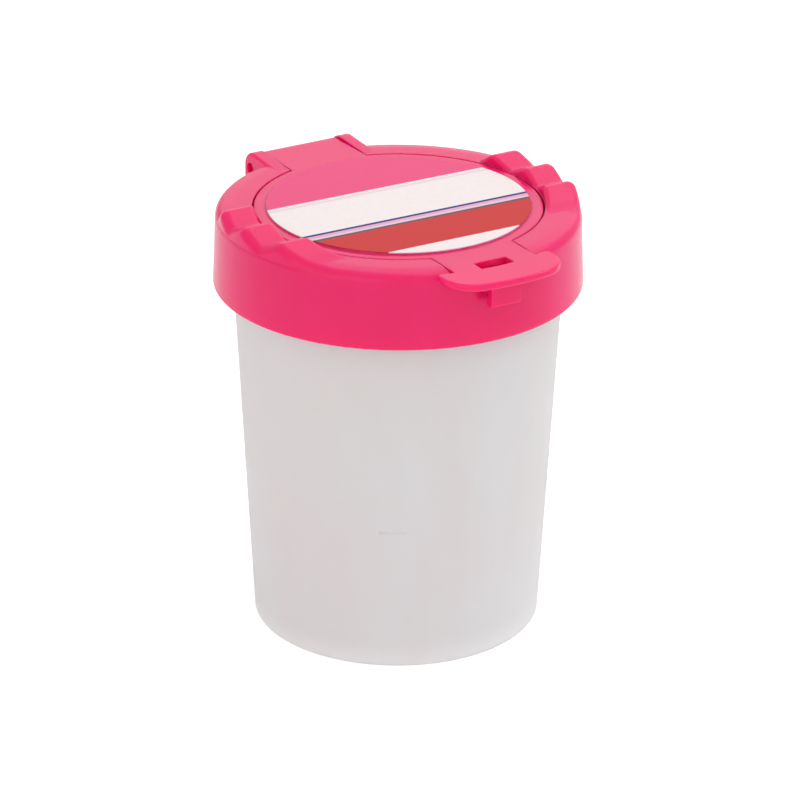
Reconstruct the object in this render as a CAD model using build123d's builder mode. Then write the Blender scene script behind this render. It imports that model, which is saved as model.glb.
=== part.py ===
"""Non-spill paint cup: a translucent tumbler, a drip funnel, a screwed-on collar and a hinged flip cap.

Millimetres, +Z up. The origin is the centre of the cup's foot, on the surface that it stands on.
The finger tab is at the front (-Y), the hinge at the back (+Y) and the brush rests are at both sides.
"""
from build123d import *

import os
from math import hypot, sqrt

# Clearances and overlaps that serve the whole part
moving_gap = 0.3
pin_clearance = 0.05
seat_sink = 0.5
cut_overrun = 3.0
ring_tolerance = 0.01

# Cup: a tapered tumbler on a foot ring
cup_height = 89.4
cup_rim_radius = 36.4
cup_taper = 4.6
cup_wall = 1.3
cup_floor = 1.5
foot_recess = 0.8
foot_width = 2.6
heel_fillet = 0.6
inner_heel_fillet = 2.2
rim_fillet = 0.4

# Raised dashes on the cup's wall that show how far to fill it
fill_height = 32.9
fill_mark_length = 6.0
fill_mark_height = 0.6
fill_mark_proud = 0.12
fill_mark_count = 3
fill_mark_angle = -122.5

# Screw thread: short starts on the cup's rim and as many in the collar
thread_starts = 4
thread_lead = 12.0
thread_turn_share = 0.27
thread_root = 1.2
thread_crest = 0.8
thread_depth = 1.5
thread_below_rim = 7.6

# Sealing ring between the cup's rim and the funnel's flange
seal_thickness = 1.0
seal_fillet = 0.3

# Funnel that hangs in the cup
flange_thickness = 1.2
flange_overhang = 0.2
neck_clearance = 0.7
funnel_wall = 1.1
funnel_tip_height = 47.0
funnel_tip_radius = 13.0
funnel_tip_length = 3.0

# Collar: skirt, top plate, well for the cap and ledge at the well's foot
skirt_depth = 17.0
skirt_wall = 1.95
skirt_draft = 0.7
collar_thread_depth = 1.4
plate_thickness = 1.6
well_wall = 1.4
ledge_thickness = 1.4
ledge_width = 3.0
clamp_rib_inset = 1.2
clamp_rib_width = 1.8
rim_break_inset = 3.55
rim_break_fillet = 12.0
rim_fall = 0.5
collar_edge_fillet = 2.0
skirt_foot_fillet = 0.5
channel_floor = 1.4
channel_wall = 1.4
flange_gap = 0.2

# Brush rests: ridges that run across the collar on both sides
rest_pitch = 11.3
rest_centre = -0.9
rest_rise = 2.75
rest_valley_rise = 0.2
rest_back_run = 3.5
rest_front_run = 7.5
rest_fade_run = 8.0
rest_crest_fillet = 2.4
rest_valley_fillet = 2.2
rest_foot_fillet = 20.0
rest_inset = 0.1
rest_end_fillet = 2.0
rest_bore_fillet = 0.9

# Flip cap: disc, rim, plug ring and the printed sticker on its plateau
cap_gap = 0.3
cap_thickness = 1.9
cap_edge_fillet = 0.3
cap_rim_wall = 1.4
cap_rim_draft = 0.3
cap_border = 2.5
plateau_rise = 0.25
plug_wall = 1.2
plug_overreach = 1.2
label_thickness = 0.2
label_margin = 0.2

# Finger tab with its window and hook, and the collar's catch bead
tab_width = 19.7
tab_thickness = 2.1
lip_overhang = 8.55
lip_thickness = 1.7
lip_half_width = 13.8
lip_corner_radius = 7.0
lip_tip_fillet = 1.2
lip_top_fillet = 0.5
lip_foot_fillet = 0.7
window_width = 8.0
window_length = 4.9
window_inset = 2.95
window_fillet = 0.4
hook_width = 7.1
hook_depth = 2.4
hook_drop = 7.8
hook_web = 1.6
hook_fillet = 0.4
barb_standoff = 1.55
barb_height = 2.1
bead_height = 1.4
bead_nose_height = 0.6
bead_width = 6.4

# Hinge: the cap's knuckle and trunnions between the collar's ears
hinge_standoff = 3.05
knuckle_radius = 3.3
strap_width = 18.9
trunnion_radius = 1.5
trunnion_length = 2.5
ear_width = 3.1
ear_overhang = 2.9
ear_rise = 0.75
ear_corner_radius = 3.5
ear_drop = 12.6
ear_back_drop = 7.5
ear_edge_fillet = 0.6

# Heights that follow from the stack of pieces on the cup's rim
seal_top = cup_height + seal_thickness
flange_top = seal_top + flange_thickness
ledge_bottom = flange_top - ledge_thickness
channel_bottom = flange_top + flange_gap
channel_top = channel_bottom + channel_floor
tab_underside = channel_top + moving_gap
collar_top = tab_underside + tab_thickness
collar_bottom = collar_top - skirt_depth
plate_underside = collar_top - plate_thickness
plateau_top = collar_top + plateau_rise
cap_underside = collar_top - cap_thickness
hinge_height = collar_top - knuckle_radius

# Radii that follow from the cup's rim: outwards to the collar, inwards to the cap
cup_foot_radius = cup_rim_radius - cup_taper
flange_radius = cup_rim_radius + flange_overhang
skirt_inner_radius = flange_radius + moving_gap + collar_thread_depth
collar_radius = skirt_inner_radius + skirt_wall
collar_top_radius = collar_radius - skirt_draft
rim_break_radius = collar_top_radius - rim_break_inset
rest_outer_radius = collar_top_radius - rest_inset
clamp_rib_radius = flange_radius - clamp_rib_inset
neck_outer_radius = cup_rim_radius - cup_wall - neck_clearance
neck_inner_radius = neck_outer_radius - funnel_wall
well_radius = neck_inner_radius - moving_gap
bore_radius = well_radius - well_wall
rest_inner_radius = bore_radius + rest_inset
mouth_radius = bore_radius - ledge_width
plug_radius = mouth_radius - cap_gap
cap_radius = bore_radius - cap_gap
cap_rim_inner_radius = cap_radius - cap_rim_wall
plateau_radius = cap_radius - cap_border

# Reaches from the axis that follow from the collar's edge
lip_reach = collar_top_radius + lip_overhang
window_inner_reach = collar_top_radius - window_inset
window_outer_reach = window_inner_reach + window_length
barb_reach = collar_top_radius + barb_standoff
hook_reach = barb_reach + hook_depth
hinge_reach = collar_top_radius + hinge_standoff
ear_front = bore_radius - seat_sink
ear_back = hinge_reach + ear_overhang

# Half widths and radii of the cuts that moving pieces run in
notch_half_width = tab_width / 2 + moving_gap
ear_inner = strap_width / 2 + cap_gap
relief_radius = knuckle_radius + moving_gap
relief_pad_radius = hinge_reach - relief_radius - channel_wall
channel_half_width = notch_half_width + channel_wall


def cup_radius(height):
    """Outer radius of the cup's tapered wall at a height."""
    return cup_foot_radius + (cup_rim_radius - cup_foot_radius) * height / cup_height


def thread_start(radius, height, depth, sink):
    """One start of the screw thread: it stands out by depth from a wall and is rooted in it by sink."""
    with BuildPart() as start:
        with BuildLine() as helix:
            Helix(
                pitch=thread_lead,
                height=thread_lead * thread_turn_share,
                radius=radius,
                center=(0, 0, height),
            )
        with BuildSketch(Plane(origin=helix.line @ 0, x_dir=(1, 0, 0), z_dir=helix.line % 0)):
            with BuildLine():
                Polyline(
                    (-sink, -thread_root / 2),
                    (0, -thread_root / 2),
                    (depth, -thread_crest / 2),
                    (depth, thread_crest / 2),
                    (0, thread_root / 2),
                    (-sink, thread_root / 2),
                    close=True,
                )
            make_face()
        sweep(path=helix.line, is_frenet=True)
    return start.part


def ring_creases(rests, radius):
    """Upper edges of the brush rests that lie on a ring of this radius."""
    creases = rests.faces().filter_by(lambda face: face.normal_at().Z > 0).edges()
    return creases.filter_by(lambda edge: abs(hypot(edge.center().X, edge.center().Y) - radius) < ring_tolerance)


# Cup
floor_top = foot_recess + cup_floor
cup_thread_height = cup_height - thread_below_rim
cup_thread = thread_start(cup_radius(cup_thread_height), cup_thread_height, thread_depth, seat_sink)

with BuildPart() as cup:
    with BuildSketch(Plane.XZ):
        with BuildLine():
            Polyline(
                (0, 0),
                (cup_foot_radius, 0),
                (cup_rim_radius, cup_height),
                (0, cup_height),
                close=True,
            )
        make_face()
        fillet(vertices().group_by(Axis.Y)[0].sort_by(Axis.X)[-1], heel_fillet)
    revolve(axis=Axis.Z)
    with BuildSketch(Plane.XZ):
        with BuildLine():
            Polyline(
                (0, floor_top),
                (cup_radius(floor_top) - cup_wall, floor_top),
                (cup_rim_radius - cup_wall, cup_height),
                (0, cup_height),
                close=True,
            )
        make_face()
        fillet(vertices().group_by(Axis.Y)[0].sort_by(Axis.X)[-1], inner_heel_fillet)
    revolve(axis=Axis.Z, mode=Mode.SUBTRACT)
    with BuildSketch(Plane.XY):
        Circle(cup_foot_radius - heel_fillet - foot_width)
    extrude(amount=foot_recess, mode=Mode.SUBTRACT)
    fillet(cup.edges().filter_by(GeomType.CIRCLE).group_by(Axis.Z)[-1], rim_fillet)
    with PolarLocations(0, thread_starts):
        add(cup_thread)
    with Locations((0, 0, fill_height)):
        with PolarLocations(cup_radius(fill_height) - seat_sink, fill_mark_count, start_angle=fill_mark_angle):
            Box(
                seat_sink + fill_mark_proud,
                fill_mark_length,
                fill_mark_height,
                align=(Align.MIN, Align.CENTER, Align.CENTER),
            )
cup.part.label = "cup"

# Sealing ring
with BuildPart() as rim_seal:
    with BuildSketch(Plane.XY.offset(cup_height)):
        Circle(cup_rim_radius)
        Circle(neck_outer_radius + moving_gap, mode=Mode.SUBTRACT)
    extrude(amount=seal_thickness)
    fillet(rim_seal.edges().filter_by(GeomType.CIRCLE), seal_fillet)
rim_seal.part.label = "rim_seal"

# Funnel
neck_bottom = ledge_bottom - seat_sink
tip_shoulder = funnel_tip_height + funnel_tip_length

with BuildPart() as spill_funnel:
    with BuildSketch(Plane.XZ):
        with BuildLine():
            Polyline(
                (neck_inner_radius, flange_top),
                (flange_radius, flange_top),
                (flange_radius, seal_top),
                (neck_outer_radius, seal_top),
                (neck_outer_radius, neck_bottom),
                (funnel_tip_radius + funnel_wall, tip_shoulder),
                (funnel_tip_radius + funnel_wall, funnel_tip_height),
                (funnel_tip_radius, funnel_tip_height),
                (funnel_tip_radius, tip_shoulder),
                (neck_inner_radius, neck_bottom),
                close=True,
            )
        make_face()
    revolve(axis=Axis.Z)
spill_funnel.part.label = "spill_funnel"

# Brush rests: a rounded zigzag run across the collar and cut to the ring between its bore and its skirt
rest_peak = collar_top + rest_rise
rest_valley = collar_top + rest_valley_rise
rest_first = rest_centre + rest_pitch
rest_last = rest_centre - rest_pitch
rest_sink = rim_fall + collar_edge_fillet
rest_back = rest_first + rest_back_run * (rest_rise + rest_sink) / rest_rise
rest_foot = rest_last - rest_front_run
rest_front = rest_foot - rest_fade_run

with BuildPart() as rests:
    with BuildSketch(Plane.YZ):
        with BuildLine():
            Polyline(
                (rest_back, collar_top - rest_sink - seat_sink),
                (rest_back, collar_top - rest_sink),
                (rest_first, rest_peak),
                ((rest_first + rest_centre) / 2, rest_valley),
                (rest_centre, rest_peak),
                ((rest_last + rest_centre) / 2, rest_valley),
                (rest_last, rest_peak),
                (rest_foot, collar_top),
                (rest_front, collar_top - rim_fall),
                (rest_front, collar_top - rest_sink - seat_sink),
                close=True,
            )
        make_face()
        fillet(vertices().group_by(Axis.Y)[-2], rest_valley_fillet)
        fillet(vertices().group_by(Axis.Y)[-1], rest_crest_fillet)
        fillet(vertices().sort_by_distance((rest_foot, collar_top))[0], rest_foot_fillet)
    extrude(amount=collar_radius, both=True)
    with BuildSketch(Plane.XY):
        Circle(rest_outer_radius)
        Circle(rest_inner_radius, mode=Mode.SUBTRACT)
    extrude(amount=rest_peak, mode=Mode.INTERSECT)
    fillet(ring_creases(rests, rest_inner_radius), rest_bore_fillet)
    fillet(ring_creases(rests, rest_outer_radius), rest_end_fillet)

# Hinge ears: plates behind the collar that hold the cap's trunnions
ear_foot = sqrt(collar_radius**2 - (ear_inner + ear_width) ** 2)

with BuildPart() as ears:
    with BuildSketch(Plane.YZ.offset(ear_inner)):
        with BuildLine():
            Polyline(
                (ear_front, collar_top - ear_drop),
                (ear_front, collar_top),
                (ear_back, collar_top + ear_rise),
                (ear_back, collar_top - ear_back_drop),
                (ear_foot, collar_top - ear_drop),
                close=True,
            )
        make_face()
        fillet(vertices().group_by(Axis.Y)[-1], ear_corner_radius)
    extrude(amount=ear_width)
    outline = ears.faces().sort_by(Axis.X)[-1].edges()
    outline = outline.filter_by(lambda edge: edge.center().Y > ear_front + seat_sink)
    fillet(outline.sort_by(Axis.Z)[1:], ear_edge_fillet)
    mirror(about=Plane.YZ)

# Collar
collar_thread_height = cup_thread_height - thread_lead / thread_starts / 2
collar_thread = thread_start(skirt_inner_radius, collar_thread_height, -collar_thread_depth, -seat_sink)
bead_reach = barb_reach - moving_gap
bead_middle = collar_top - hook_drop + barb_height + cap_gap + bead_height / 2

with BuildPart() as screw_collar:
    with BuildSketch(Plane.XZ):
        with BuildLine():
            Polyline(
                (0, collar_bottom),
                (collar_radius, collar_bottom),
                (collar_top_radius, collar_top - rim_fall),
                (rim_break_radius, collar_top),
                (0, collar_top),
                close=True,
            )
        make_face()
        fillet(vertices().sort_by(Axis.X)[-3], rim_break_fillet)
        fillet(vertices().sort_by(Axis.X)[-2], collar_edge_fillet)
        fillet(vertices().sort_by(Axis.X)[-1], skirt_foot_fillet)
    revolve(axis=Axis.Z)
    add(rests.part)
    add(ears.part)
    with BuildSketch(Plane.XY.offset(collar_bottom)):
        Circle(skirt_inner_radius)
    extrude(amount=plate_underside - collar_bottom, mode=Mode.SUBTRACT)
    with BuildSketch(Plane.XY.offset(ledge_bottom)):
        Circle(well_radius)
    extrude(amount=plate_underside - ledge_bottom)
    with BuildSketch(Plane.XY.offset(flange_top)):
        Circle(clamp_rib_radius + clamp_rib_width / 2)
        Circle(clamp_rib_radius - clamp_rib_width / 2, mode=Mode.SUBTRACT)
    extrude(amount=plate_underside - flange_top)
    with BuildSketch(Plane.XY.offset(channel_bottom)):
        Rectangle(2 * channel_half_width, 2 * collar_radius)
        Circle(skirt_inner_radius + seat_sink, mode=Mode.INTERSECT)
        Circle(bore_radius, mode=Mode.SUBTRACT)
    extrude(amount=plate_underside - channel_bottom)
    with BuildSketch(Plane.XY.offset(hinge_height - relief_radius)):
        Rectangle(2 * ear_inner, collar_radius, align=(Align.CENTER, Align.MIN))
        Circle(skirt_inner_radius + seat_sink, mode=Mode.INTERSECT)
        Circle(relief_pad_radius, mode=Mode.SUBTRACT)
    extrude(amount=plate_underside - hinge_height + relief_radius)
    with PolarLocations(0, thread_starts):
        add(collar_thread)
    with BuildSketch(Plane.XY):
        Circle(mouth_radius)
    extrude(amount=rest_peak, mode=Mode.SUBTRACT)
    with BuildSketch(Plane.XY.offset(flange_top)):
        Circle(bore_radius)
    extrude(amount=rest_peak - flange_top, mode=Mode.SUBTRACT)
    with BuildSketch(Plane.XY.offset(channel_top)):
        Rectangle(2 * notch_half_width, collar_radius + cut_overrun, align=(Align.CENTER, Align.MAX))
        Rectangle(2 * ear_inner, ear_back + cut_overrun, align=(Align.CENTER, Align.MIN))
    extrude(amount=rest_peak - channel_top, mode=Mode.SUBTRACT)
    with BuildSketch(Plane.YZ):
        with Locations((hinge_reach, hinge_height)):
            Circle(relief_radius)
    extrude(amount=ear_inner, both=True, mode=Mode.SUBTRACT)
    with BuildSketch(Plane.YZ):
        with Locations((hinge_reach, hinge_height)):
            Circle(trunnion_radius + pin_clearance)
    extrude(amount=ear_inner + ear_width, both=True, mode=Mode.SUBTRACT)
    with BuildSketch(Plane.YZ):
        with BuildLine():
            Polyline(
                (-skirt_inner_radius, bead_middle - bead_height / 2),
                (-collar_top_radius, bead_middle - bead_height / 2),
                (-bead_reach, bead_middle - bead_nose_height / 2),
                (-bead_reach, bead_middle + bead_nose_height / 2),
                (-collar_top_radius, bead_middle + bead_height / 2),
                (-skirt_inner_radius, bead_middle + bead_height / 2),
                close=True,
            )
        make_face()
    extrude(amount=bead_width / 2, both=True)
screw_collar.part.label = "screw_collar"

# Flip cap
cap_rim_bottom = flange_top + moving_gap
plug_bottom = ledge_bottom - plug_overreach
lip_clear_radius = collar_top_radius + cap_gap

with BuildPart() as flip_cap:
    with BuildSketch(Plane.XZ):
        with BuildLine():
            Polyline(
                (0, cap_underside),
                (plug_radius - plug_wall, cap_underside),
                (plug_radius - plug_wall, plug_bottom),
                (plug_radius, plug_bottom),
                (plug_radius, cap_underside),
                (cap_rim_inner_radius, cap_underside),
                (cap_rim_inner_radius, cap_rim_bottom),
                (cap_radius - cap_rim_draft, cap_rim_bottom),
                (cap_radius, collar_top),
                (plateau_radius, collar_top),
                (plateau_radius, plateau_top),
                (0, plateau_top),
                close=True,
            )
        make_face()
        fillet(vertices().sort_by(Axis.X)[-1], cap_edge_fillet)
    revolve(axis=Axis.Z)
    with BuildSketch(Plane.XY.offset(collar_top - lip_thickness)):
        Rectangle(2 * lip_half_width, lip_reach, align=(Align.CENTER, Align.MAX))
        Circle(lip_reach, mode=Mode.INTERSECT)
        Circle(lip_clear_radius, mode=Mode.SUBTRACT)
        fillet(vertices().sort_by(Axis.Y)[:2], lip_corner_radius)
        fillet(vertices().sort_by(Axis.Y)[-2:], lip_tip_fillet)
    lip = extrude(amount=lip_thickness)
    fillet(lip.edges().group_by(Axis.Z)[-1], lip_top_fillet)
    fillet(lip.edges().group_by(Axis.Z)[0], lip_foot_fillet)
    with BuildSketch(Plane.XY.offset(tab_underside)):
        Rectangle(tab_width, window_outer_reach + hook_web, align=(Align.CENTER, Align.MAX))
        Rectangle(strap_width, hinge_reach, align=(Align.CENTER, Align.MIN))
        Circle(cap_rim_inner_radius, mode=Mode.SUBTRACT)
        with Locations((0, -(window_inner_reach + window_outer_reach) / 2)):
            RectangleRounded(
                window_width,
                window_outer_reach - window_inner_reach,
                window_fillet,
                mode=Mode.SUBTRACT,
            )
    extrude(amount=tab_thickness)
    with BuildSketch(Plane.YZ):
        with Locations((hinge_reach, hinge_height)):
            Circle(knuckle_radius)
    extrude(amount=strap_width / 2, both=True)
    with BuildSketch(Plane.YZ):
        with Locations((hinge_reach, hinge_height)):
            Circle(trunnion_radius)
    extrude(amount=strap_width / 2 + trunnion_length, both=True)
    with BuildSketch(Plane.YZ):
        with BuildLine():
            Polyline(
                (-hook_reach, tab_underside + seat_sink),
                (-hook_reach, collar_top - hook_drop),
                (hook_web - hook_reach, collar_top - hook_drop),
                (-barb_reach, collar_top - hook_drop + barb_height / 2),
                (-barb_reach, collar_top - hook_drop + barb_height),
                (hook_web - hook_reach, collar_top - hook_drop + barb_height),
                (hook_web - hook_reach, tab_underside + seat_sink),
                close=True,
            )
        make_face()
        fillet(vertices().group_by(Axis.Y)[0], hook_fillet)
    extrude(amount=hook_width / 2, both=True)
flip_cap.part.label = "flip_cap"

# Printed sticker
with BuildPart() as cap_label:
    with BuildSketch(Plane.XY.offset(plateau_top)):
        Circle(plateau_radius - label_margin)
    extrude(amount=label_thickness)
cap_label.part.label = "cap_label"

os.makedirs("parts", exist_ok=True)
for piece in (cup, rim_seal, spill_funnel, screw_collar, flip_cap, cap_label):
    export_step(piece.part, f"parts/{piece.part.label}.step")
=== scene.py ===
"""Looks of a non-spill paint cup: frosted tumbler, drip funnel, screw collar, flip cap and label.

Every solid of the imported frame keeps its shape. Each sub-assembly class dresses its own solids in
procedural finishes and adds the small witness marks that moulding leaves on them. Lengths are in
metres.
"""

import logging
from collections.abc import Iterable
from dataclasses import dataclass, replace
from enum import Enum
from math import cos, pi, radians, sin

import bmesh
import bpy
from mathutils import Matrix, Vector


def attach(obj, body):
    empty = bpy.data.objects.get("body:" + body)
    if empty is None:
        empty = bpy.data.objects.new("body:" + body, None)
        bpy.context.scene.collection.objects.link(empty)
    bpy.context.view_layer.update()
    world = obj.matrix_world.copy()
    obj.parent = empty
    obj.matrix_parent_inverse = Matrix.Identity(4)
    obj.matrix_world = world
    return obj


Colour = tuple[float, float, float]
Point = tuple[float, float, float]
Socket = bpy.types.NodeSocket
Source = Socket | float | Colour

LOG = logging.getLogger("paint_cup")
MM = 0.001
MERGE_DISTANCE = 0.001 * MM
BACKDROP: Colour = (1.0, 1.0, 1.0)

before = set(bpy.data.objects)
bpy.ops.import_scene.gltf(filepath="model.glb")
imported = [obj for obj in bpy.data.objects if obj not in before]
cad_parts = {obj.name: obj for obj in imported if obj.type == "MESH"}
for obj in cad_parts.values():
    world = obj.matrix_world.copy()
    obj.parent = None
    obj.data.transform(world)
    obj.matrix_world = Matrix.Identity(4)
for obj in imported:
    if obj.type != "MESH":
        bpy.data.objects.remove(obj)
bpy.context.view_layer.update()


class Body(Enum):
    """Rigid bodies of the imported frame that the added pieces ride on."""

    CUP = "cup"
    CAP = "cap"


class Slot(Enum):
    """Material slots of the record that the added pieces take their finish from."""

    CUP = "frosted_cup"
    LID = "pink_lid"


class Kind(Enum):
    """Kinds of socket that a shader group has."""

    VECTOR = "NodeSocketVector"
    NUMBER = "NodeSocketFloat"
    COLOUR = "NodeSocketColor"


class Fade(Enum):
    """How a colour ramp passes from one stop to the next."""

    SMOOTH = "EASE"
    STEPPED = "CONSTANT"


class Blend(Enum):
    """How two colours are put together."""

    MIX = "MIX"
    MULTIPLY = "MULTIPLY"


class Wiring:
    """A node tree that is being wired up."""

    # The Mix node's colour sockets share their names with its number sockets, so they go by place.
    MIX_LOW = 6
    MIX_HIGH = 7
    MIX_RESULT = 2

    def __init__(self, tree: bpy.types.NodeTree) -> None:
        """Starts on an empty tree.

        Args:
            tree: the node tree of a material, world or group.
        """
        self.tree = tree
        tree.nodes.clear()

    def add(
        self, kind: str, settings: dict[str, object] | None = None, **values: Source
    ) -> bpy.types.Node:
        """Adds a node.

        Args:
            kind: the node's type name.
            settings: properties of the node itself.
            values: values or source sockets for its inputs, with underscores for spaces.

        Returns:
            The new node.
        """
        node = self.tree.nodes.new(kind)
        for name, value in (settings or {}).items():
            setattr(node, name, value)
        for name, value in values.items():
            self.feed(node.inputs[name.replace("_", " ")], value)
        return node

    def feed(self, socket: Socket, value: Source) -> None:
        """Links a source socket to an input, or sets the input's own value.

        Args:
            socket: the input that is fed.
            value: a source socket or a plain value.
        """
        if isinstance(value, Socket):
            self.tree.links.new(value, socket)
        elif isinstance(value, tuple) and socket.type == "RGBA":
            socket.default_value = (*value, 1.0)
        else:
            socket.default_value = value

    def math(self, operation: str, first: Source, second: Source, clamp: bool = False) -> Socket:
        """Adds a math node.

        Args:
            operation: the math node's operation.
            first: first value or source socket.
            second: second value or source socket.
            clamp: whether the result is held between 0 and 1.

        Returns:
            The result's socket.
        """
        node = self.add("ShaderNodeMath", {"operation": operation, "use_clamp": clamp})
        self.feed(node.inputs[0], first)
        self.feed(node.inputs[1], second)
        return node.outputs[0]

    def dot(self, first: Source, second: Source) -> Socket:
        """Adds the dot product of two directions.

        Args:
            first: first direction or source socket.
            second: second direction or source socket.

        Returns:
            The product's socket.
        """
        node = self.add("ShaderNodeVectorMath", {"operation": "DOT_PRODUCT"})
        self.feed(node.inputs[0], first)
        self.feed(node.inputs[1], second)
        return node.outputs["Value"]

    def share(self, value: Source, low: float, high: float) -> Socket:
        """Turns a value into its share of the way from low to high.

        Args:
            value: the value's source socket.
            low: the value at share 0.
            high: the value at share 1.

        Returns:
            The share's socket, held between 0 and 1.
        """
        node = self.add("ShaderNodeMapRange", Value=value, From_Min=low, From_Max=high)
        return node.outputs["Result"]

    def noise(
        self, place: Socket, scale: Source, detail: float, roughness: float = 0.5, bend: float = 0.0
    ) -> Socket:
        """Adds a noise texture.

        Args:
            place: the coordinates that it is laid by.
            scale: how fine it is.
            detail: how many finer layers it has.
            roughness: how strong the finer layers are.
            bend: how far it is distorted.

        Returns:
            The noise's value socket.
        """
        node = self.add(
            "ShaderNodeTexNoise",
            Vector=place, Scale=scale, Detail=detail, Roughness=roughness, Distortion=bend,
        )
        return node.outputs["Fac"]

    def blend(self, share: Source, low: Source, high: Source, way: Blend = Blend.MIX) -> Socket:
        """Puts two colours together.

        Args:
            share: how much of the high colour shows.
            low: colour or source socket at 0.
            high: colour or source socket at 1.
            way: how they are put together.

        Returns:
            The resulting colour's socket.
        """
        node = self.add("ShaderNodeMix", {"data_type": "RGBA", "blend_type": way.value})
        self.feed(node.inputs["Factor"], share)
        self.feed(node.inputs[self.MIX_LOW], low)
        self.feed(node.inputs[self.MIX_HIGH], high)
        return node.outputs[self.MIX_RESULT]

    def ramp(self, share: Socket, stops: Iterable[tuple[float, Colour]], fade: Fade) -> Socket:
        """Adds a colour ramp.

        Args:
            share: where a point lies along the ramp.
            stops: each stop's place along the ramp and its colour, from a first stop at 0.
            fade: how one stop passes into the next.

        Returns:
            The colour's socket.
        """
        node = self.add("ShaderNodeValToRGB", Fac=share)
        node.color_ramp.interpolation = fade.value
        elements = node.color_ramp.elements
        elements.remove(elements[-1])
        for number, (place, colour) in enumerate(stops):
            element = elements[0] if number == 0 else elements.new(place)
            element.color = (*colour, 1.0)
        return node.outputs["Color"]


def start_group(
    name: str, inputs: dict[str, Kind], outputs: dict[str, Kind]
) -> tuple[Wiring, bpy.types.Node, bpy.types.Node]:
    """Makes an empty shader group with named sockets.

    Args:
        name: the group's name.
        inputs: name and kind of each input.
        outputs: name and kind of each output.

    Returns:
        The group's wiring, its input node and its output node.
    """
    tree = bpy.data.node_groups.new(name, "ShaderNodeTree")
    for ports, side in ((inputs, "INPUT"), (outputs, "OUTPUT")):
        for port, kind in ports.items():
            tree.interface.new_socket(port, in_out=side, socket_type=kind.value)
    wiring = Wiring(tree)
    return wiring, wiring.add("NodeGroupInput"), wiring.add("NodeGroupOutput")


def start_material(name: str) -> tuple[bpy.types.Material, Wiring, Socket]:
    """Makes an empty material.

    Args:
        name: the material's name.

    Returns:
        The material, its wiring and the object coordinates that its textures are laid by.
    """
    material = bpy.data.materials.new(name)
    material.use_nodes = True
    wiring = Wiring(material.node_tree)
    return material, wiring, wiring.add("ShaderNodeTexCoord").outputs["Object"]


@dataclass(frozen=True)
class MouldedGrain:
    """Fine spark-eroded mould grain over a slow orange peel, as a height."""

    fine_detail: float = 3.0
    fine_roughness: float = 0.6
    fine_share: float = 0.35
    peel_size: float = 260.0
    peel_detail: float = 1.0
    peel_roughness: float = 0.4

    def group(self) -> bpy.types.NodeTree:
        """Wires the effect up.

        Returns:
            The shader group, with inputs Vector and Grain and output Height.
        """
        wiring, given, made = start_group(
            "moulded_grain", {"Vector": Kind.VECTOR, "Grain": Kind.NUMBER}, {"Height": Kind.NUMBER},
        )
        place, size = given.outputs["Vector"], given.outputs["Grain"]
        fine = wiring.noise(place, size, self.fine_detail, self.fine_roughness)
        peel = wiring.noise(place, self.peel_size, self.peel_detail, self.peel_roughness)
        fine_part = wiring.math("MULTIPLY", fine, self.fine_share)
        wiring.feed(made.inputs["Height"], wiring.math("ADD", fine_part, peel))
        return wiring.tree


@dataclass(frozen=True)
class FlowClouding:
    """Slow drift of a moulding's tint and gloss where the melt flowed."""

    stretch: Point = (1.0, 1.0, 0.45)
    cloud_detail: float = 4.0
    cloud_bend: float = 0.6
    cloud_low: float = 0.38
    cloud_high: float = 0.62
    smudge_ratio: float = 3.7
    smudge_detail: float = 5.0
    smudge_middle: float = 0.5

    def group(self) -> bpy.types.NodeTree:
        """Wires the effect up.

        Returns:
            The shader group, with inputs Vector, Size, Tint, Drift, Gloss and Spread and outputs
            Color and Roughness.
        """
        inputs = {
            "Vector": Kind.VECTOR, "Size": Kind.NUMBER, "Tint": Kind.COLOUR, "Drift": Kind.COLOUR,
            "Gloss": Kind.NUMBER, "Spread": Kind.NUMBER,
        }
        outputs = {"Color": Kind.COLOUR, "Roughness": Kind.NUMBER}
        wiring, given, made = start_group("flow_clouding", inputs, outputs)
        place, size = given.outputs["Vector"], given.outputs["Size"]
        drawn = wiring.add("ShaderNodeMapping", Vector=place, Scale=self.stretch).outputs["Vector"]
        cloud = wiring.noise(drawn, size, self.cloud_detail, bend=self.cloud_bend)
        share = wiring.share(cloud, self.cloud_low, self.cloud_high)
        colour = wiring.blend(share, given.outputs["Tint"], given.outputs["Drift"])
        wiring.feed(made.inputs["Color"], colour)
        smudge_size = wiring.math("MULTIPLY", size, self.smudge_ratio)
        smudge = wiring.noise(place, smudge_size, self.smudge_detail)
        swing = wiring.math("SUBTRACT", smudge, self.smudge_middle)
        swing = wiring.math("MULTIPLY", swing, given.outputs["Spread"])
        wiring.feed(made.inputs["Roughness"], wiring.math("ADD", given.outputs["Gloss"], swing))
        return wiring.tree


@dataclass(frozen=True)
class SoftEdge:
    """Moulded edge radius as a rounded normal, and the edges where a lighter colour is painted as a
    highlight.
    """

    samples: int = 6

    def group(self) -> bpy.types.NodeTree:
        """Wires the effect up.

        Returns:
            The shader group, with inputs Radius and the strength of the painted edge highlight, and
            outputs Normal and how much of that highlight is painted at each point.
        """
        inputs = {"Radius": Kind.NUMBER, "Rub": Kind.NUMBER}
        outputs = {"Normal": Kind.VECTOR, "Mask": Kind.NUMBER}
        wiring, given, made = start_group("soft_edge", inputs, outputs)
        bevel = wiring.add("ShaderNodeBevel", {"samples": self.samples}, Radius=given.outputs["Radius"])
        rounded = bevel.outputs["Normal"]
        facing = wiring.add("ShaderNodeNewGeometry").outputs["Normal"]
        turned = wiring.math("SUBTRACT", 1.0, wiring.dot(rounded, facing))
        wiring.feed(made.inputs["Normal"], rounded)
        # Painted highlight: the further the rounded normal turns from the face's own, the more of a
        # lighter colour is painted there.
        highlight_mask = wiring.math("MULTIPLY", turned, given.outputs["Rub"], clamp=True)
        wiring.feed(made.inputs["Mask"], highlight_mask)
        return wiring.tree


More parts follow.
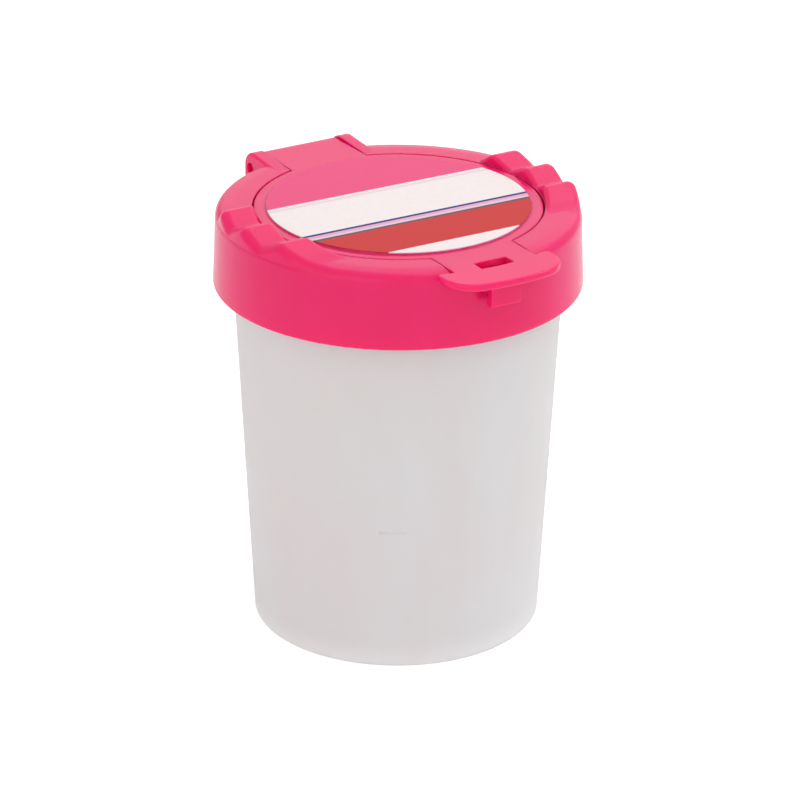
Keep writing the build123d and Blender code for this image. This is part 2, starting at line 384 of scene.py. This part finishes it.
@dataclass(frozen=True)
class Effects:
    """The shader groups that the finishes share."""

    grain: bpy.types.NodeTree
    clouding: bpy.types.NodeTree
    edges: bpy.types.NodeTree

    @classmethod
    def build(cls) -> "Effects":
        """Builds each group once."""
        return cls(MouldedGrain().group(), FlowClouding().group(), SoftEdge().group())


@dataclass(frozen=True)
class PaintedGlowBand:
    """Painted light at one height of the wall: a tint that stands in for the glow and bounce light it
    takes in from what is near.
    """

    height: float
    # The painted tint, which multiplies the wall's colour.
    share: Colour


@dataclass(frozen=True)
class Moulding:
    """A moulded polymer: its tint and drift, gloss, grain, edges with a painted highlight, painted glow
    by height and how it takes light in.
    """

    name: str
    tint: Colour
    drift: Colour
    # Lighter colour painted along the edges as a highlight.
    painted_edge_highlight: Colour
    roughness: float
    roughness_spread: float = 0.06
    index: float = 1.49
    specular: float = 0.5
    transmission: float = 0.0
    scatter: float = 0.0
    scatter_depth: Colour = (1.0, 1.0, 1.0)
    scatter_scale: float = 1.0 * MM
    cloud_size: float = 45.0
    grain_size: float = 2600.0
    grain_strength: float = 0.12
    grain_depth: float = 0.03 * MM
    edge_radius: float = 0.3 * MM
    # How strongly the edge highlight is painted.
    edge_highlight_strength: float = 2.0
    # Painted light: tints by height for glow and bounce light.
    painted_glow_bands: tuple[PaintedGlowBand, ...] = ()

    def with_painted_glow(self, wiring: Wiring, place: Socket, colour: Socket) -> Socket:
        """Paints glow and bounce light into a colour by height.

        Args:
            wiring: the material's wiring.
            place: the object coordinates.
            colour: the colour without its painted glow.

        Returns:
            The socket of the colour with its painted glow.
        """
        if not self.painted_glow_bands:
            return colour
        low, high = self.painted_glow_bands[0].height, self.painted_glow_bands[-1].height
        height = wiring.add("ShaderNodeSeparateXYZ", Vector=place).outputs["Z"]
        stops = (((band.height - low) / (high - low), band.share) for band in self.painted_glow_bands)
        # Painted light: the ramp's tints stand in for glow and bounce light at each height.
        shade = wiring.ramp(wiring.share(height, low, high), stops, Fade.SMOOTH)
        return wiring.blend(1.0, colour, shade, Blend.MULTIPLY)

    def material(self, effects: Effects) -> bpy.types.Material:
        """Wires the finish up.

        Args:
            effects: the shared shader groups.

        Returns:
            The new material.
        """
        material, wiring, place = start_material(self.name)
        cloud = wiring.add(
            "ShaderNodeGroup", {"node_tree": effects.clouding},
            Vector=place, Size=self.cloud_size, Tint=self.tint, Drift=self.drift,
            Gloss=self.roughness, Spread=self.roughness_spread,
        )
        edge = wiring.add(
            "ShaderNodeGroup", {"node_tree": effects.edges}, Radius=self.edge_radius, Rub=self.edge_highlight_strength,
        )
        grain = wiring.add(
            "ShaderNodeGroup", {"node_tree": effects.grain}, Vector=place, Grain=self.grain_size,
        )
        bump = wiring.add(
            "ShaderNodeBump",
            Strength=self.grain_strength, Distance=self.grain_depth,
            Height=grain.outputs["Height"], Normal=edge.outputs["Normal"],
        )
        # Painted light: glow and bounce light by height, then a lighter colour painted along the edges
        # as a highlight.
        colour = self.with_painted_glow(wiring, place, cloud.outputs["Color"])
        shader = wiring.add(
            "ShaderNodeBsdfPrincipled",
            Base_Color=wiring.blend(edge.outputs["Mask"], colour, self.painted_edge_highlight),
            Roughness=cloud.outputs["Roughness"], Normal=bump.outputs["Normal"],
            IOR=self.index, Specular_IOR_Level=self.specular,
            Transmission_Weight=self.transmission,
            Subsurface_Weight=self.scatter, Subsurface_Radius=self.scatter_depth,
            Subsurface_Scale=self.scatter_scale,
        )
        wiring.add("ShaderNodeOutputMaterial", Surface=shader.outputs["BSDF"])
        return material


@dataclass(frozen=True)
class Stripe:
    """One printed stripe: its start, from the label's front edge towards the hinge, and its ink."""

    start: float
    ink: Colour


@dataclass(frozen=True)
class StripedPrint:
    """A laminated paper sticker printed with plain stripes across the cap."""

    name: str
    stripes: tuple[Stripe, ...]
    radius: float
    turn: float
    roughness: float = 0.48
    specular: float = 0.22
    mottle_size: float = 900.0
    mottle_detail: float = 4.0
    mottle_swing: float = 0.1
    pulp_size: float = 5000.0
    pulp_strength: float = 0.15
    pulp_depth: float = 0.02 * MM

    def material(self, effects: Effects) -> bpy.types.Material:
        """Wires the print up.

        Args:
            effects: the shared shader groups.

        Returns:
            The new material.
        """
        material, wiring, place = start_material(self.name)
        turned = wiring.add("ShaderNodeMapping", Vector=place, Rotation=(0.0, 0.0, self.turn))
        across = wiring.add("ShaderNodeSeparateXYZ", Vector=turned.outputs["Vector"]).outputs["Y"]
        stops = ((stripe.start / (2 * self.radius), stripe.ink) for stripe in self.stripes)
        ink = wiring.ramp(wiring.share(across, -self.radius, self.radius), stops, Fade.STEPPED)
        mottle = wiring.noise(place, self.mottle_size, self.mottle_detail)
        level = wiring.math("MULTIPLY", mottle, self.mottle_swing)
        level = wiring.math("ADD", level, 1.0 - self.mottle_swing / 2)
        worn = wiring.add("ShaderNodeHueSaturation", Color=ink, Value=level)
        grain = wiring.add(
            "ShaderNodeGroup", {"node_tree": effects.grain}, Vector=place, Grain=self.pulp_size,
        )
        bump = wiring.add(
            "ShaderNodeBump",
            Strength=self.pulp_strength, Distance=self.pulp_depth, Height=grain.outputs["Height"],
        )
        shader = wiring.add(
            "ShaderNodeBsdfPrincipled",
            Base_Color=worn.outputs["Color"], Normal=bump.outputs["Normal"],
            Roughness=self.roughness, Specular_IOR_Level=self.specular,
        )
        wiring.add("ShaderNodeOutputMaterial", Surface=shader.outputs["BSDF"])
        return material


FROSTED_CUP = Moulding(
    "frosted_cup",
    tint=(0.955, 0.88, 0.875), drift=(0.95, 0.945, 0.965), painted_edge_highlight=(0.98, 0.95, 0.96),
    roughness=0.48, transmission=0.14, scatter=0.85, scatter_scale=4.0 * MM, cloud_size=26.0,
    edge_radius=0.4 * MM, edge_highlight_strength=1.0,
    # Painted light: tints by height stand in for glow and bounce light on the wall.
    painted_glow_bands=(
        PaintedGlowBand(0.0, (1.0, 0.99, 0.99)),
        PaintedGlowBand(6.0 * MM, (1.0, 0.975, 0.975)),
        PaintedGlowBand(24.0 * MM, (1.0, 0.955, 0.955)),
        PaintedGlowBand(46.0 * MM, (0.965, 0.975, 0.98)),
        PaintedGlowBand(66.0 * MM, (0.965, 0.97, 0.965)),
        PaintedGlowBand(80.0 * MM, (1.0, 1.0, 1.0)),
    ),
)
FROSTED_FUNNEL = Moulding(
    "frosted_funnel",
    tint=(0.88, 0.86, 0.86), drift=(0.92, 0.9, 0.9), painted_edge_highlight=(0.95, 0.94, 0.94),
    roughness=0.42, transmission=0.35, scatter=0.6, scatter_scale=3.0 * MM,
)
SOFT_SEAL = Moulding(
    "soft_seal",
    tint=(0.82, 0.82, 0.78), drift=(0.78, 0.77, 0.72), painted_edge_highlight=(0.86, 0.86, 0.83),
    roughness=0.7, index=1.43, scatter=0.3, scatter_scale=1.5 * MM, cloud_size=120.0,
    grain_strength=0.25,
)
PINK_LID = Moulding(
    "pink_lid",
    tint=(0.83, 0.009, 0.155), drift=(0.81, 0.008, 0.14), painted_edge_highlight=(0.88, 0.045, 0.22),
    roughness=0.21, specular=0.37, scatter=1.0, scatter_depth=(1.0, 0.15, 0.35),
    scatter_scale=1.8 * MM, edge_radius=0.5 * MM,
)
FROSTED_WITNESS = replace(
    FROSTED_CUP, name="frosted_witness", roughness=0.4, scatter=0.0, transmission=0.0,
)
PINK_WITNESS = replace(PINK_LID, name="pink_witness", roughness=0.18, scatter=0.0)
LABEL_PRINT = StripedPrint(
    "printed_label",
    stripes=(
        Stripe(0.0, (0.87, 0.79, 0.79)),
        Stripe(4.8 * MM, (0.59, 0.02, 0.019)),
        Stripe(17.4 * MM, (0.12, 0.08, 0.11)),
        Stripe(18.2 * MM, (0.8, 0.56, 0.66)),
        Stripe(19.2 * MM, (0.74, 0.4, 0.56)),
        Stripe(20.2 * MM, (0.01, 0.015, 0.22)),
        Stripe(21.1 * MM, (0.87, 0.8, 0.79)),
        Stripe(36.4 * MM, (0.76, 0.66, 0.69)),
        Stripe(37.2 * MM, (0.94, 0.76, 0.8)),
        Stripe(38.3 * MM, (0.82, 0.07, 0.215)),
    ),
    radius=28.6 * MM,
    turn=radians(1.2),
)


def dress(node: str, material: bpy.types.Material) -> None:
    """Gives one CAD solid its finish.

    Args:
        node: the solid's name.
        material: the finish.
    """
    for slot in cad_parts[node].material_slots:
        slot.material = material
    LOG.info("%s dressed in %s", node, material.name)


def mesh_from(form: bmesh.types.BMesh, name: str) -> bpy.types.Mesh:
    """Turns a form into a mesh.

    Args:
        form: the form. It is freed.
        name: the mesh's name.

    Returns:
        The new mesh.
    """
    mesh = bpy.data.meshes.new(name)
    form.to_mesh(mesh)
    form.free()
    return mesh


def show(name: str, data: bpy.types.ID) -> bpy.types.Object:
    """Puts an object with the given data into the scene.

    Args:
        name: the object's name.
        data: its mesh, light or camera.

    Returns:
        The new object.
    """
    item = bpy.data.objects.new(name, data)
    bpy.context.scene.collection.objects.link(item)
    return item


def keep(
    form: bmesh.types.BMesh, name: str, material: bpy.types.Material, body: Body
) -> None:
    """Turns a finished form into a piece that rides on its body.

    Args:
        form: the form, in its final place. It is freed.
        name: the piece's name.
        material: its finish.
        body: the body that it rides on.
    """
    bmesh.ops.remove_doubles(form, verts=form.verts, dist=MERGE_DISTANCE)
    bmesh.ops.recalc_face_normals(form, faces=form.faces)
    mesh = mesh_from(form, name)
    mesh.shade_smooth()
    mesh.materials.append(material)
    piece = show(name, mesh)
    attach(piece, body.value)
    LOG.info("%s rides on %s with %d faces", name, body.value, len(mesh.polygons))


def turned_form(profile: tuple[tuple[float, float], ...], steps: int) -> bmesh.types.BMesh:
    """Spins a profile that starts and ends on the axis into a closed form.

    Args:
        profile: radius and height of each corner.
        steps: how many steps the full turn takes.

    Returns:
        The closed form about the Z axis.
    """
    form = bmesh.new()
    corners = [form.verts.new((radius, 0.0, height)) for radius, height in profile]
    edges = [form.edges.new(pair) for pair in zip(corners, corners[1:])]
    bmesh.ops.spin(
        form, geom=corners + edges, cent=(0, 0, 0), axis=(0, 0, 1), angle=2 * pi, steps=steps,
        use_merge=True,
    )
    return form


@dataclass(frozen=True)
class GateWell:
    """The low ring and broken-off pip where the melt entered the cup's mould."""

    recess_top: float = 0.8 * MM
    radius: float = 4.2 * MM
    wall: float = 0.5 * MM
    flank_share: float = 0.3
    drop_share: float = 0.5
    pip_radius: float = 0.9 * MM
    pip_drop: float = 0.35 * MM
    pip_tip_share: float = 0.6
    pip_foot_share: float = 1.1
    skin: float = 0.02 * MM
    root: float = 0.2 * MM
    steps: int = 64

    def form(self) -> bmesh.types.BMesh:
        """Shapes the pip, the thin skin round it and the ring.

        Returns:
            The closed form, whose root lies inside the cup's floor.
        """
        top = self.recess_top + self.root
        skin = self.recess_top - self.skin
        tip = self.recess_top - self.pip_drop
        crest = self.recess_top - self.drop_share * self.pip_drop
        return turned_form(
            (
                (0.0, tip),
                (self.pip_radius * self.pip_tip_share, tip),
                (self.pip_radius, crest),
                (self.pip_radius * self.pip_foot_share, skin),
                (self.radius - self.wall, skin),
                (self.radius - (1 - self.flank_share) * self.wall, crest),
                (self.radius - self.flank_share * self.wall, crest),
                (self.radius, skin),
                (self.radius, top),
                (0.0, top),
            ),
            self.steps,
        )


@dataclass(frozen=True)
class PinMark:
    """The low rimmed disc that an ejector pin leaves under the cap."""

    underside: float = 93.7 * MM
    radius: float = 2.0 * MM
    depth: float = 0.12 * MM
    dish_share: float = 0.6
    dish_edge_share: float = 0.86
    rim_inner_share: float = 0.92
    rim_outer_share: float = 0.97
    chamfer_share: float = 0.3
    steps: int = 40

    def form(self, offset: Vector) -> bmesh.types.BMesh:
        """Shapes the disc.

        Args:
            offset: where it sits, from the cap's axis.

        Returns:
            The closed form, whose top half lies inside the cap.
        """
        low = self.underside - self.depth
        dish = low + self.dish_share * self.depth
        form = turned_form(
            (
                (0.0, dish),
                (self.radius * self.dish_edge_share, dish),
                (self.radius * self.rim_inner_share, low),
                (self.radius * self.rim_outer_share, low),
                (self.radius, low + self.chamfer_share * self.depth),
                (self.radius, self.underside + self.depth),
                (0.0, self.underside + self.depth),
            ),
            self.steps,
        )
        bmesh.ops.translate(form, verts=form.verts, vec=offset)
        return form


@dataclass
class Tumbler:
    """The translucent cup, with the moulding gate's well in its recessed floor."""

    well: GateWell = GateWell()

    def build(self, effects: Effects) -> None:
        """Dresses the cup and adds its gate well.

        Args:
            effects: the shared shader groups.
        """
        dress("cup", FROSTED_CUP.material(effects))
        witness = FROSTED_WITNESS.material(effects)
        keep(self.well.form(), "cup_gate_well", witness, Body.CUP)


@dataclass
class FunnelSet:
    """The drip funnel and the seal under its flange."""

    def build(self, effects: Effects) -> None:
        """Dresses the funnel and its seal."""
        dress("spill_funnel", FROSTED_FUNNEL.material(effects))
        dress("rim_seal", SOFT_SEAL.material(effects))


@dataclass
class Lid:
    """The screw collar and the flip cap, moulded from one pink polymer, and the cap's sticker."""

    mark: PinMark = PinMark()
    mark_circle: float = 17.0 * MM
    mark_count: int = 4

    def build(self, effects: Effects) -> None:
        """Dresses collar, cap and sticker and adds the ejector marks.

        Args:
            effects: the shared shader groups.
        """
        pink = PINK_LID.material(effects)
        dress("screw_collar", pink)
        dress("flip_cap", pink)
        dress("cap_label", LABEL_PRINT.material(effects))
        witness = PINK_WITNESS.material(effects)
        for number in range(self.mark_count):
            angle = 2 * pi * (number + 0.5) / self.mark_count
            offset = Vector((cos(angle), sin(angle), 0.0)) * self.mark_circle
            name = f"cap_pin_mark_{number + 1}"
            keep(self.mark.form(offset), name, witness, Body.CAP)


@dataclass(frozen=True)
class Floor:
    """The plain pale floor, which looks lighter than it lights."""

    size: float = 8.0
    tint: Colour = (0.82, 0.82, 0.82)
    shade: float = 0.99
    cloud_size: float = 3.0
    cloud_detail: float = 2.0
    roughness: float = 0.85
    glow: float = 0.16
    lift: float = 0.35

    def material(self) -> bpy.types.Material:
        """Wires the floor's finish up.

        Returns:
            The new material.
        """
        material, wiring, place = start_material("pale_floor")
        cloud = wiring.noise(place, self.cloud_size, self.cloud_detail)
        dimmed = tuple(self.shade * part for part in self.tint)
        seen = wiring.add("ShaderNodeLightPath").outputs["Is Camera Ray"]
        glow = wiring.math("ADD", wiring.math("MULTIPLY", seen, self.lift), self.glow)
        shader = wiring.add(
            "ShaderNodeBsdfPrincipled",
            Base_Color=wiring.blend(cloud, self.tint, dimmed), Roughness=self.roughness,
            Emission_Color=BACKDROP, Emission_Strength=glow,
        )
        wiring.add("ShaderNodeOutputMaterial", Surface=shader.outputs["BSDF"])
        return material

    def lay(self) -> None:
        """Lays the floor under the cup's foot."""
        form = bmesh.new()
        bmesh.ops.create_grid(form, x_segments=1, y_segments=1, size=self.size / 2)
        mesh = mesh_from(form, "floor")
        mesh.materials.append(self.material())
        show("floor", mesh)


@dataclass(frozen=True)
class Sky:
    """The surroundings: a dome that brightens towards one side, behind a plain backdrop."""

    dim: Colour = (0.62, 0.58, 0.575)
    bright: Colour = (0.915, 0.91, 0.915)
    tilt: Point = (0.15, -0.54, 0.83)
    low: float = -0.3
    high: float = 0.9

    def spread(self) -> None:
        """Lights the surroundings."""
        world = bpy.data.worlds.new("studio")
        world.use_nodes = True
        wiring = Wiring(world.node_tree)
        outward = wiring.add("ShaderNodeTexCoord").outputs["Generated"]
        share = wiring.share(wiring.dot(outward, self.tilt), self.low, self.high)
        dome = wiring.blend(share, self.dim, self.bright)
        seen = wiring.add("ShaderNodeLightPath").outputs["Is Camera Ray"]
        glow = wiring.add("ShaderNodeBackground", Color=wiring.blend(seen, dome, BACKDROP))
        wiring.add("ShaderNodeOutputWorld", Surface=glow.outputs["Background"])
        bpy.context.scene.world = world


@dataclass(frozen=True)
class SoftLight:
    """A round soft box: where it hangs, how large it is, how much it gives and its tint."""

    name: str
    place: Point
    size: float
    power: float
    tint: Colour = (1.0, 1.0, 1.0)

    def hang(self, aim: Point) -> None:
        """Hangs the light.

        Args:
            aim: the point that it faces.
        """
        lamp = bpy.data.lights.new(self.name, "AREA")
        lamp.shape = "DISK"
        lamp.size = self.size
        lamp.energy = self.power
        lamp.color = self.tint
        holder = show(self.name, lamp)
        holder.location = self.place
        towards = Vector(aim) - Vector(self.place)
        holder.rotation_euler = towards.to_track_quat("-Z", "Y").to_euler()


@dataclass(frozen=True)
class PhotoCamera:
    """The camera that was fitted to the photograph."""

    azimuth: float = radians(-31.2)
    elevation: float = radians(24.2)
    roll: float = radians(0.35)
    distance: float = 0.855
    lens: float = 174.4
    shift: tuple[float, float] = (0.003375, 0.005625)

    def place(self, aim: Point) -> None:
        """Places the camera.

        Args:
            aim: the point that it faces.
        """
        lens = bpy.data.cameras.new("photo_camera")
        lens.lens = self.lens
        lens.shift_x, lens.shift_y = self.shift
        outward = Vector((
            sin(self.azimuth) * cos(self.elevation),
            -cos(self.azimuth) * cos(self.elevation),
            sin(self.elevation),
        ))
        facing = (-outward).to_track_quat("-Z", "Y").to_matrix()
        turn = (facing @ Matrix.Rotation(self.roll, 3, "Z")).to_4x4()
        camera = show("photo_camera", lens)
        camera.matrix_world = Matrix.Translation(Vector(aim) + self.distance * outward) @ turn
        bpy.context.scene.camera = camera


@dataclass(frozen=True)
class Studio:
    """Pale floor, soft light and the camera at the photograph's angle."""

    aim: Point = (0.0, 0.0, 48.4 * MM)
    floor: Floor = Floor()
    sky: Sky = Sky()
    camera: PhotoCamera = PhotoCamera()
    lights: tuple[SoftLight, ...] = (
        SoftLight("top_box", place=(0.57, 0.1, 1.1), size=1.0, power=2.5),
        SoftLight(
            "left_box", place=(-1.15, -0.55, 0.4), size=1.2, power=2.5, tint=(1.0, 0.91, 0.89),
        ),
        SoftLight("rear_box", place=(0.7, 1.0, 0.62), size=1.1, power=1.25),
        SoftLight("key_lamp", place=(0.78, -0.5, 0.85), size=0.15, power=1.1),
    )

    def build(self) -> None:
        """Sets the studio up."""
        self.floor.lay()
        self.sky.spread()
        for light in self.lights:
            light.hang(self.aim)
        self.camera.place(self.aim)
        bpy.context.scene.view_settings.view_transform = "Standard"


def main() -> None:
    """Builds and dresses each sub-assembly, then the studio."""
    logging.basicConfig(level=logging.INFO)
    effects = Effects.build()
    Tumbler().build(effects)
    FunnelSet().build(effects)
    Lid().build(effects)
    Studio().build()


if __name__ == "__main__":
    main()
